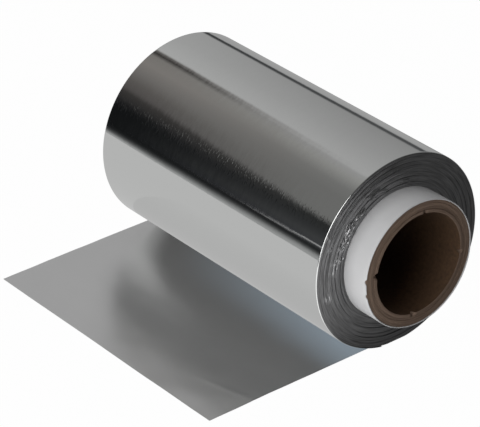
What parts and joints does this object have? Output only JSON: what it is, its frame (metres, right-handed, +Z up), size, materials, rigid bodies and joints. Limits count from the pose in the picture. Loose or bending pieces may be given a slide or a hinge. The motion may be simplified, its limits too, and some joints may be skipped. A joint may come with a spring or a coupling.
{
  "type": "hair foil roll",
  "caption": "Roll of bright aluminium foil wound on a white paper covered kraft tube, lying on its side with its loose end drawn off flat in front.",
  "frame": {"origin": "centre of the core's bore, halfway along the roll", "axes": "+X along the roll's axis, -Y the way the loose end is drawn off, +Z up"},
  "size_m": [0.142, 0.118, 0.0726],
  "materials": {
    "foil": "bright rolled foil, its loose end showing the matte side",
    "kraft_board": "brown kraft board, wound from glued plies",
    "white_paper": "uncoated white paper"
  },
  "bodies": {
    "root": {"foil": "foil", "cardboard_core": "kraft_board", "white_paper_ply": "white_paper"}
  },
  "joints": []
}
